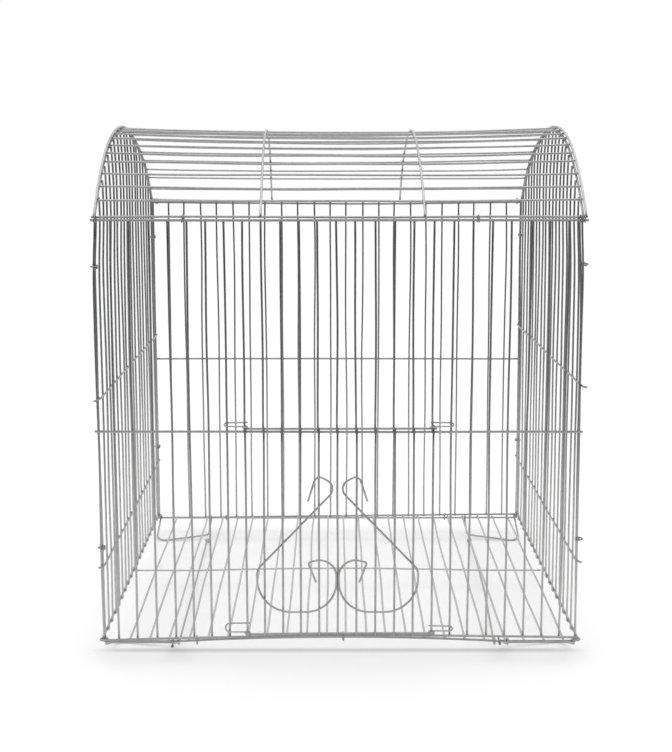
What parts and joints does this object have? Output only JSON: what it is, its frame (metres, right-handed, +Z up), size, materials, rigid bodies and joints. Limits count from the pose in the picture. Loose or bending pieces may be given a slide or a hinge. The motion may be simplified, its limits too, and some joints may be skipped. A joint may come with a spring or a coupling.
{
  "type": "wire rabbit cage",
  "caption": "Box-shaped cage of welded galvanised wire with an arched roof, a lift-up front door with curled bottle holders, and folding wire feet.",
  "frame": {"origin": "on the ground, under the middle of the whole outline", "axes": "+Z up; -Y is the front with the door; +X is to the right as seen from the front; the roof's ridge runs along X"},
  "size_m": [0.608, 0.6174, 0.6733],
  "materials": {
    "mesh_wire": "bright galvanised steel wire, 2.6 mm, welded where wires cross",
    "rail_wire": "bright galvanised steel wire, 3 mm, a little lighter than the mesh",
    "door_wire": "bright galvanised steel wire, 2.6 mm, lightly rubbed",
    "clip_wire": "duller thin binding wire, 2 mm, with cut ends",
    "holder_wire": "bent galvanised wire, 2.6 mm, darker at its cut tips",
    "foot_wire": "bright galvanised steel wire, 3 mm, slightly dull from the floor"
  },
  "bodies": {
    "cage": {"front_panel_upper": "mesh_wire", "front_panel_left": "mesh_wire", "front_panel_right": "mesh_wire", "back_panel": "mesh_wire", "left_side_panel": "mesh_wire", "right_side_panel": "mesh_wire", "floor_panel": "mesh_wire", "roof_wires": "mesh_wire", "front_sill_rail": "rail_wire", "roof_hoop_left": "rail_wire", "roof_hoop_mid_left": "rail_wire", "roof_hoop_mid_right": "rail_wire", "roof_hoop_right": "rail_wire", "corner_rings_front": "clip_wire", "corner_rings_back": "clip_wire", "roof_rings_front": "clip_wire", "roof_rings_back": "clip_wire", "floor_rings": "clip_wire", "stay_left": "foot_wire", "stay_right": "foot_wire"},
    "door": {"door_wires": "door_wire", "door_rails": "door_wire", "door_runner_top_left": "clip_wire", "door_runner_top_right": "clip_wire", "door_runner_bottom_left": "clip_wire", "door_runner_bottom_right": "clip_wire", "bottle_holder_left": "holder_wire", "bottle_holder_right": "holder_wire"},
    "foot_front_left": {"foot_front_left": "foot_wire"},
    "foot_front_right": {"foot_front_right": "foot_wire"},
    "foot_back_left": {"foot_back_left": "foot_wire"},
    "foot_back_right": {"foot_back_right": "foot_wire"}
  },
  "joints": [
    {"name": "door_lift", "type": "slide", "parent": "cage", "child": "door", "axis": [0, 0, 1], "range_m": [0, 0.23]},
    {"name": "foot_front_left_fold", "type": "hinge", "parent": "cage", "child": "foot_front_left", "pos_m": [-0.254, -0.29553, 0.024], "axis": [-1, 0, 0], "range_deg": [0, 72]},
    {"name": "foot_front_right_fold", "type": "hinge", "parent": "cage", "child": "foot_front_right", "pos_m": [0.254, -0.29553, 0.024], "axis": [-1, 0, 0], "range_deg": [0, 72]},
    {"name": "foot_back_left_fold", "type": "hinge", "parent": "cage", "child": "foot_back_left", "pos_m": [-0.254, 0.29847, 0.024], "axis": [1, 0, 0], "range_deg": [0, 72]},
    {"name": "foot_back_right_fold", "type": "hinge", "parent": "cage", "child": "foot_back_right", "pos_m": [0.254, 0.29847, 0.024], "axis": [1, 0, 0], "range_deg": [0, 72]}
  ]
}
